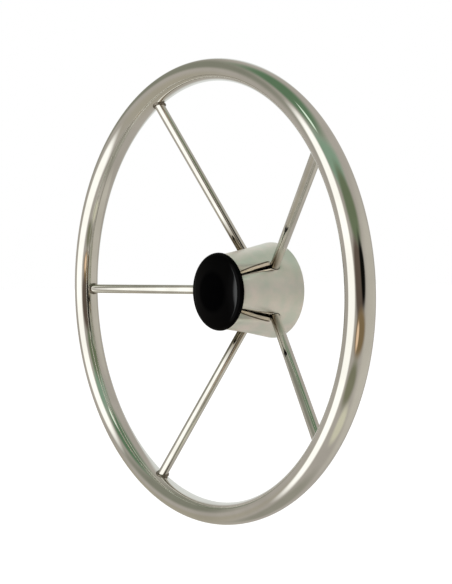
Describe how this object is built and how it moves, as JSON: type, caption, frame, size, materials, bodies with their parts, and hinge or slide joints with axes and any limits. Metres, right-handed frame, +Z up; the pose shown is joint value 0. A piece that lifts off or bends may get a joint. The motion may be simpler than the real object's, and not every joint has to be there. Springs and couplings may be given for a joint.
{
  "type": "boat steering wheel",
  "caption": "Dished boat steering wheel with an oval polished tube rim, straight round spokes, a conical sheet hub and a push-in black centre cap.",
  "frame": {"origin": "centre of the taper bore's large end, in the plane of the boss's rear face", "axes": "+Y along the wheel's axis towards the helm shaft, so the face that the helmsman looks at is towards -Y; +Z up and +X to the helmsman's right, with one spoke pointing to -X"},
  "size_m": [0.35, 0.0927, 0.35],
  "materials": {
    "polished_tube": "mirror polished stainless steel tube",
    "polished_bar": "mirror polished stainless steel bar",
    "polished_sheet": "polished stainless steel sheet",
    "plain_sheet": "plain rolled stainless steel sheet",
    "turned_steel": "turned stainless steel",
    "weld_metal": "brushed weld metal",
    "black_plastic": "glossy black moulding"
  },
  "bodies": {
    "wheel": {"rim": "polished_tube", "hub_shell": "polished_sheet", "hub_boss": "turned_steel", "back_plate": "plain_sheet", "plate_weld": "weld_metal", "spoke_1": "polished_bar", "spoke_2": "polished_bar", "spoke_3": "polished_bar", "spoke_4": "polished_bar", "spoke_5": "polished_bar", "rim_weld_1": "weld_metal", "rim_weld_2": "weld_metal", "rim_weld_3": "weld_metal", "rim_weld_4": "weld_metal", "rim_weld_5": "weld_metal", "boss_weld_1": "weld_metal", "boss_weld_2": "weld_metal", "boss_weld_3": "weld_metal", "boss_weld_4": "weld_metal", "boss_weld_5": "weld_metal"},
    "cap": {"centre_cap": "black_plastic"}
  },
  "joints": [
    {"name": "cap_pull", "type": "slide", "parent": "wheel", "child": "cap", "axis": [0, -1, 0], "range_m": [0, 0.04]}
  ]
}
